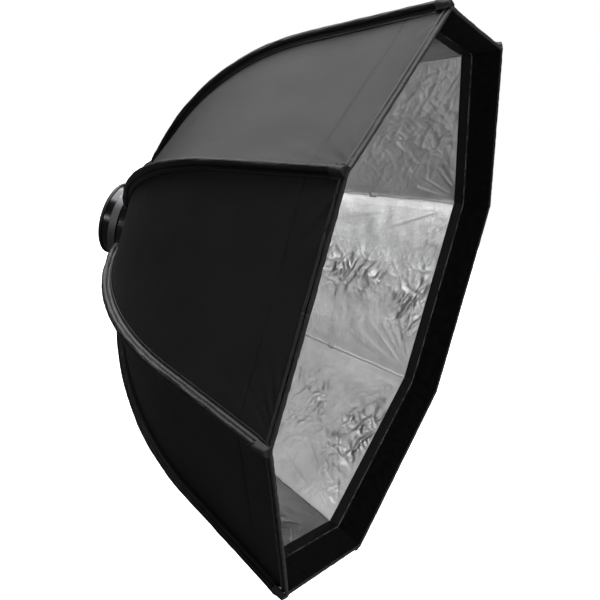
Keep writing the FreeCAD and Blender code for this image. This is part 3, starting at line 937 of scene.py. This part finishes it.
# ---- tip pockets ---------------------------------------------------------------------
def tip_pockets():
    """Doubled cloth caps over the rod ends, saddled over the ridge and sewn to both panels."""
    along = np.concatenate([np.linspace(0, 0.66, 10), np.linspace(0.72, 1, 13)])
    cross = np.linspace(-1, 1, 45)
    start = LENGTH - POCKET_L
    end = LENGTH + 0.0012
    drop = math.tan(HALF) * math.sin(A_TIP)
    for k in range(SIDES):
        s = start + (end - start) * along
        centre, tangential, outward = rod_frames(k, s)
        rows = []
        for i, share in enumerate(along):
            x = cross * (POCKET_HALF - 0.0036 * smooth(share, 0.55, 1.0))
            closing = math.sqrt(1 - 0.985 * max(0.0, (share - 0.55) / 0.45) ** 12)
            closing *= 1 - 0.2 * smooth(share, 0.1, 0.8)
            base = -SHELL_OUT - np.abs(x) * drop + 0.0010
            dome = np.sqrt(np.clip(1 - (x / POCKET_R) ** 2, 0, 1)) * 0.0118 * closing - 0.0052
            skirt = 0.0022 * closing * np.exp(-(np.abs(x) / 0.0090) ** 4)
            z = np.maximum(base + skirt, dome)
            z = z + 0.0004 * noise(x / 0.004 + 9 * k, x * 0 + share * 4, k)
            rows.append(centre[i] + tangential[i] * x[:, None] + outward[i] * z[:, None])
        # the end turns down in front of the hem's corner
        low, low_across, low_out = rod_frames(k, np.array([LENGTH - 0.0006]))
        depth = base - 0.0035
        rows.append(low[0] + low_across[0] * x[:, None] + low_out[0] * depth[:, None])
        top = np.array(rows)
        normals = grid_normals(top)
        under = top - normals * 0.0011
        uv = np.stack(np.meshgrid(cross * 0.02, np.append(along, 1.1) * 0.026), axis=-1)
        obj = slab("pocket_%d" % (k + 1), top, under, normals, -normals, uv)
        obj.data.materials.append(MATERIALS["pocket"])
        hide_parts("tip_pocket_%d" % (k + 1))
        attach(obj, "rod_%d" % (k + 1))


# ---- diffuser tabs -------------------------------------------------------------------
def diffuser_tabs():
    """Folded webbing loops on the lining at each rod, which hold an inner diffuser."""
    n = 22
    turns = np.linspace(0, 2 * math.pi, n, endpoint=False)
    outer, inner = (np.stack([wide * np.cos(turns), -TAB_DEEP - deep * np.sin(turns)], axis=1)
                    for wide, deep in ((0.0044, 0.0024), (0.0035, 0.0015)))
    for k in range(SIDES):
        s = np.linspace(TAB_AT - TAB_HALF, TAB_AT + TAB_HALF, 9)
        centre, tangential, outward = rod_frames(k, s)
        verts = []
        for i in range(len(s)):
            for shape in (outer, inner):
                verts.append(centre[i] + tangential[i] * shape[:, :1] + outward[i] * shape[:, 1:])
        faces = []
        for i in range(len(s) - 1):
            for j in range(n):
                a = 2 * n * i + j
                b = 2 * n * i + (j + 1) % n
                faces.append((a, b, b + 2 * n, a + 2 * n))
                faces.append((a + n, a + 3 * n, b + 3 * n, b + n))
        last = 2 * n * (len(s) - 1)
        for a in range(n):
            b = (a + 1) % n
            faces.append((a, a + n, b + n, b))
            faces.append((last + a, last + b, last + b + n, last + a + n))
        obj = make_mesh("diffuser_tab_%d" % (k + 1), np.concatenate(verts), faces)
        obj.data.materials.append(MATERIALS["tab"])
        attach(obj, "rod_%d" % (k + 1))


# ---- studio --------------------------------------------------------------------------
# Area lights: name, place, the point they face, side of the square, power
LIGHTS = (
    ("key_left", (-2.3, -2.7, 1.45), (0.25, -0.35, 0.0), 0.8, 41),
    ("low_left", (-1.6, -1.9, -1.15), (0.3, -0.35, -0.1), 0.6, 5),
    ("above_front", (-0.1, -1.5, 2.2), (0.25, -0.35, -0.2), 0.8, 5.5),
    ("below_front", (0.18, -1.35, -1.15), (0.22, -0.40, 0.35), 0.5, 1.7),
    ("back_top", (0.9, 2.6, 2.4), (-0.3, -0.3, 0.25), 2.6, 42),
    ("hub_strip", (-2.4, 1.5, -0.1), (-0.05, 0, 0), 0.35, 4.5),
)
SUN_POWER = 3.3
SUN_SOFTNESS = 60             # degrees
AMBIENT = 0.05
FLOOR_DROP = 1.10             # the object hangs free above the floor
FLOOR_REACH = 40.0


def place_in_scene(name, data, location=(0, 0, 0), rotation=(0, 0, 0)):
    obj = bpy.data.objects.new(name, data)
    obj.location = location
    obj.rotation_euler = rotation
    bpy.context.scene.collection.objects.link(obj)
    return obj


def backdrop():
    """White for the camera and dim for everything else, so that it doesn't wash out the part."""
    scene = bpy.context.scene
    scene.view_settings.view_transform = "Standard"
    world = bpy.data.worlds.new("studio")
    world.use_nodes = True
    scene.world = world
    tree = world.node_tree
    dim = tree.nodes["Background"]
    white = tree.nodes.new("ShaderNodeBackground")
    for background, strength in ((dim, AMBIENT), (white, 1.0)):
        background.inputs["Color"].default_value = (1, 1, 1, 1)
        background.inputs["Strength"].default_value = strength
    path = tree.nodes.new("ShaderNodeLightPath")
    mix = tree.nodes.new("ShaderNodeMixShader")
    tree.links.new(path.outputs["Is Camera Ray"], mix.inputs[0])
    tree.links.new(dim.outputs[0], mix.inputs[1])
    tree.links.new(white.outputs[0], mix.inputs[2])
    tree.links.new(mix.outputs[0], tree.nodes["World Output"].inputs[0])


def floor():
    mesh = bpy.data.meshes.new("floor")
    z = cad_box[0].z - FLOOR_DROP
    corners = ((-1, -1), (1, -1), (1, 1), (-1, 1))
    mesh.from_pydata([(x * FLOOR_REACH, y * FLOOR_REACH, z) for x, y in corners], [],
                     [(0, 1, 2, 3)])
    paper = Shader("floor_paper")
    seen = paper.node("ShaderNodeLightPath").outputs["Is Camera Ray"]
    paper.link(paper.colour_mix(seen, (0.05, 0.05, 0.05), (0.95, 0.95, 0.95)),
               paper.bsdf.inputs["Base Color"])
    paper.set(Roughness=0.9, Specular_IOR_Level=0.0)
    paper.bsdf.inputs["Emission Color"].default_value = (1, 1, 1, 1)
    paper.link(seen, paper.bsdf.inputs["Emission Strength"])
    mesh.materials.append(paper.mat)
    place_in_scene("floor", mesh)


def lights():
    sun = bpy.data.lights.new("overhead", "SUN")
    sun.energy = SUN_POWER
    sun.angle = math.radians(SUN_SOFTNESS)
    place_in_scene("overhead", sun, rotation=(math.radians(-20), 0, 0))
    for name, place, target, size, power in LIGHTS:
        data = bpy.data.lights.new(name, "AREA")
        data.energy = power
        data.size = size
        facing = (Vector(target) - Vector(place)).to_track_quat("-Z", "Y").to_euler()
        place_in_scene(name, data, place, facing)


def camera():
    """The photo's viewpoint, rolled because the object is tilted in it."""
    data = bpy.data.cameras.new("camera")
    data.sensor_width = 36.0
    data.lens = 79.257
    turn = [math.radians(a) for a in (83.170, -15.240, -69.698)]
    bpy.context.scene.camera = place_in_scene("camera", data, (-2.0125, -1.0285, 0.2053), turn)


hub()
shell_panels()
lining_panels()
lining_seams()
mouth_bands()
edge_roll("edge_binding", LENGTH - 0.0012, (SHELL_OUT + LINING_IN) / 2 + 0.0006, 0.0026, 0.0030,
          0.10, "binding")
edge_roll("edge_piping", LENGTH - 0.0085, SHELL_OUT, 0.0022, 0.0016, 0.14, "binding", 0.0004)
edge_roll("tape_line", LENGTH - LOOP_DEPTH, LINING_IN + 0.0024, 0.0005, 0.0005, 0.10, "thread",
          slack=LOOP_SLACK)
stitch_rows()
sleeves()
sleeve_stitches()
tip_pockets()
diffuser_tabs()
backdrop()
floor()
lights()
camera()
